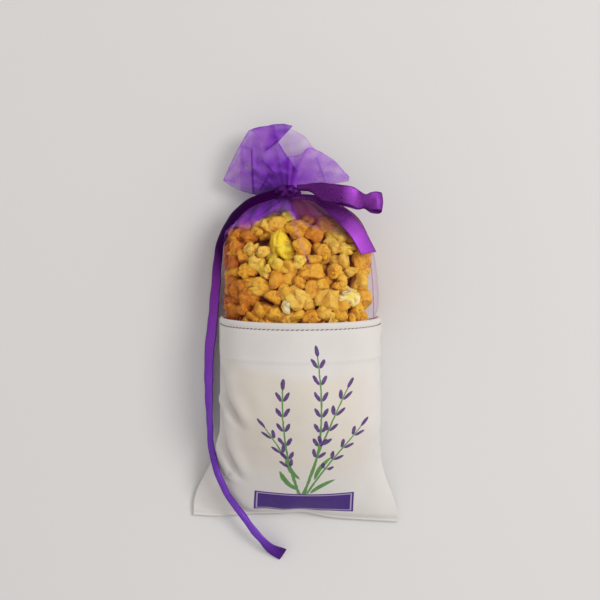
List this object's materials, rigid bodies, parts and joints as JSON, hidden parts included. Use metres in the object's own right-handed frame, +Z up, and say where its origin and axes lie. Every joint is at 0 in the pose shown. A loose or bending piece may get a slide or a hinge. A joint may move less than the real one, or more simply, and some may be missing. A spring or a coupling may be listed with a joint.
{
  "type": "lavender sachet",
  "caption": "small filled scent bag lying on its back: printed cotton pouch, sheer organza top over granules, gathered neck tied with a satin ribbon bow, ruffle above",
  "frame": {"origin": "the middle of the flat back the bag lies on, on the surface under it", "axes": "+Z up out of the printed front, +Y from the bottom seam towards the tied mouth, +X to the right of the printed front"},
  "size_m": [0.0832, 0.1764, 0.0388],
  "materials": {
    "cotton": "plain woven cotton, off white",
    "thread": "matte sewing thread",
    "organza": "sheer woven organza",
    "satin": "satin ribbon",
    "granules": "matte scented granules"
  },
  "bodies": {
    "bag": {"cotton_back_panel": "cotton", "cotton_front_panel": "cotton", "granule_01": "granules", "granule_02": "granules", "granule_03": "granules", "granule_04": "granules", "granule_05": "granules", "granule_06": "granules", "granule_07": "granules", "granule_08": "granules", "granule_09": "granules", "granule_10": "granules", "granule_11": "granules", "granule_12": "granules", "granule_13": "granules", "granule_14": "granules", "granule_15": "granules", "granule_16": "granules", "granule_17": "granules", "granule_18": "granules", "granule_19": "granules", "granule_20": "granules", "granule_21": "granules", "granule_22": "granules", "granule_23": "granules", "granule_24": "granules", "granule_25": "granules", "granule_26": "granules", "granule_27": "granules", "granule_28": "granules", "granule_29": "granules", "granule_30": "granules", "granule_31": "granules", "granule_32": "granules", "granule_33": "granules", "granule_34": "granules", "granule_35": "granules", "granule_bed": "granules", "hem_stitch_back": "thread", "hem_stitch_front": "thread", "organza_back_panel": "organza", "organza_front_panel": "organza", "organza_seam_thread_left": "thread", "organza_seam_thread_right": "thread", "ribbon_knot": "satin", "ribbon_long_tail_upper": "satin", "ribbon_neck_wrap": "satin", "seam_thread_bottom": "thread", "seam_thread_left": "thread", "seam_thread_right": "thread"},
    "ruffle": {"ruffle_front_layer": "organza", "ruffle_back_layer": "organza"},
    "bow_loop": {"ribbon_bow_loop": "satin"},
    "short_tail": {"ribbon_short_tail": "satin"},
    "long_tail_end": {"ribbon_long_tail_lower": "satin"}
  },
  "joints": [
    {"name": "ruffle_fold", "type": "hinge", "parent": "bag", "child": "ruffle", "pos_m": [-0.005, 0.0707, 0.0198], "axis": [1, 0, 0], "range_deg": [0, 60]},
    {"name": "bow_loop_lift", "type": "hinge", "parent": "bag", "child": "bow_loop", "pos_m": [0.0012, 0.0682, 0.0255], "axis": [0, -1, 0], "range_deg": [0, 65]},
    {"name": "short_tail_lift", "type": "hinge", "parent": "bag", "child": "short_tail", "pos_m": [0.0012, 0.0658, 0.0226], "axis": [-0.5, -0.866, 0], "range_deg": [0, 12]},
    {"name": "long_tail_lift", "type": "hinge", "parent": "bag", "child": "long_tail_end", "pos_m": [-0.0366, 0.0064, 0.0068], "axis": [-1, 0, 0], "range_deg": [0, 50]}
  ]
}
